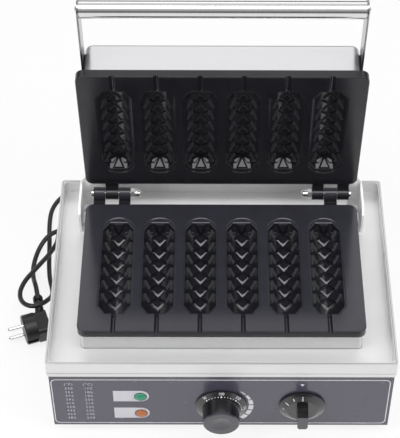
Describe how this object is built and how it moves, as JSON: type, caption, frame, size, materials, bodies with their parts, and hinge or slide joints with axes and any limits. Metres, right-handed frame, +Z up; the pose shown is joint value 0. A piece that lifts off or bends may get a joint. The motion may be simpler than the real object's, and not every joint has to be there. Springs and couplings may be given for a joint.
{
  "type": "hot dog waffle maker",
  "caption": "Countertop waffle maker for hot dogs on sticks, with cast mould plates, a hinged lid that stands open, a bar handle, a drip tray and a panel with two knobs.",
  "frame": {"origin": "on the table under the middle of the object's overall outline, cord left out", "axes": "+X to the right as seen from the controls, +Y to the back, +Z up"},
  "size_m": [0.4415, 0.4414, 0.4321],
  "materials": {
    "stainless": "fine brushed stainless sheet",
    "panel": "matt slate-coloured print",
    "coated_casting": "dark non-stick coating, satin",
    "heater_steel": "dull oxidised steel sheath",
    "insulation": "pressed ceramic-fibre board",
    "fastener": "bright plated steel",
    "handle_steel": "polished stainless tube and flat bar",
    "foot_rubber": "matt black rubber",
    "knob": "black moulded resin",
    "shaft": "turned brass",
    "control_case": "plated steel case",
    "copper_tube": "drawn copper",
    "lens_green": "translucent green",
    "lens_orange": "translucent amber",
    "lamp_case": "white nylon",
    "terminal_case": "glazed white",
    "gland": "black nylon",
    "cord_sheath": "smooth black sheath",
    "plug_case": "black moulded plug",
    "plug_pin": "nickel-plated brass"
  },
  "bodies": {
    "base": {"base_housing": "stainless", "bottom_cover": "stainless", "front_panel": "panel", "deck_tray": "stainless", "feet": "foot_rubber", "foot_screws": "fastener", "plinth": "stainless", "lower_plate": "coated_casting", "lower_heater": "heater_steel", "lower_insulation": "insulation", "hinge_pin_left": "fastener", "hinge_pin_right": "fastener", "acorn_nut_left": "fastener", "acorn_nut_right": "fastener", "stop_bracket_left": "stainless", "stop_bracket_right": "stainless", "bracket_screws": "fastener", "thermostat_body": "control_case", "thermostat_sensor": "copper_tube", "timer_body": "control_case", "heating_lamp_lens": "lens_orange", "heating_lamp_body": "lamp_case", "power_lamp_lens": "lens_green", "power_lamp_body": "lamp_case", "terminal_block": "terminal_case", "base_lead_gland": "gland", "cord_strain_relief": "cord_sheath", "supply_cord_lead": "cord_sheath", "supply_cord_coil": "cord_sheath", "supply_cord_run": "cord_sheath", "plug_body": "plug_case", "plug_pins": "plug_pin"},
    "lid": {"upper_plate": "coated_casting", "upper_heater": "heater_steel", "upper_insulation": "insulation", "lid_cover": "stainless", "lid_lead_gland": "gland", "handle_tube": "handle_steel", "handle_end_plugs": "gland", "handle_arm_left": "handle_steel", "handle_arm_right": "handle_steel", "handle_screws": "fastener", "arm_rivets": "fastener"},
    "temperature_knob": {"temperature_knob": "knob", "thermostat_shaft": "shaft"},
    "timer_knob": {"timer_knob": "knob", "timer_shaft": "shaft"}
  },
  "joints": [
    {"name": "lid_hinge", "type": "hinge", "parent": "base", "child": "lid", "pos_m": [0, 0.1047, 0.1444], "axis": [1, 0, 0], "range_deg": [0, 83.6]},
    {"name": "temperature_knob_turn", "type": "hinge", "parent": "base", "child": "temperature_knob", "pos_m": [0, -0.1306, 0.051], "axis": [0, 1, 0], "range_deg": [-195, 75]},
    {"name": "timer_knob_turn", "type": "hinge", "parent": "base", "child": "timer_knob", "pos_m": [0.0895, -0.1306, 0.051], "axis": [0, 1, 0], "range_deg": [0, 300]}
  ]
}
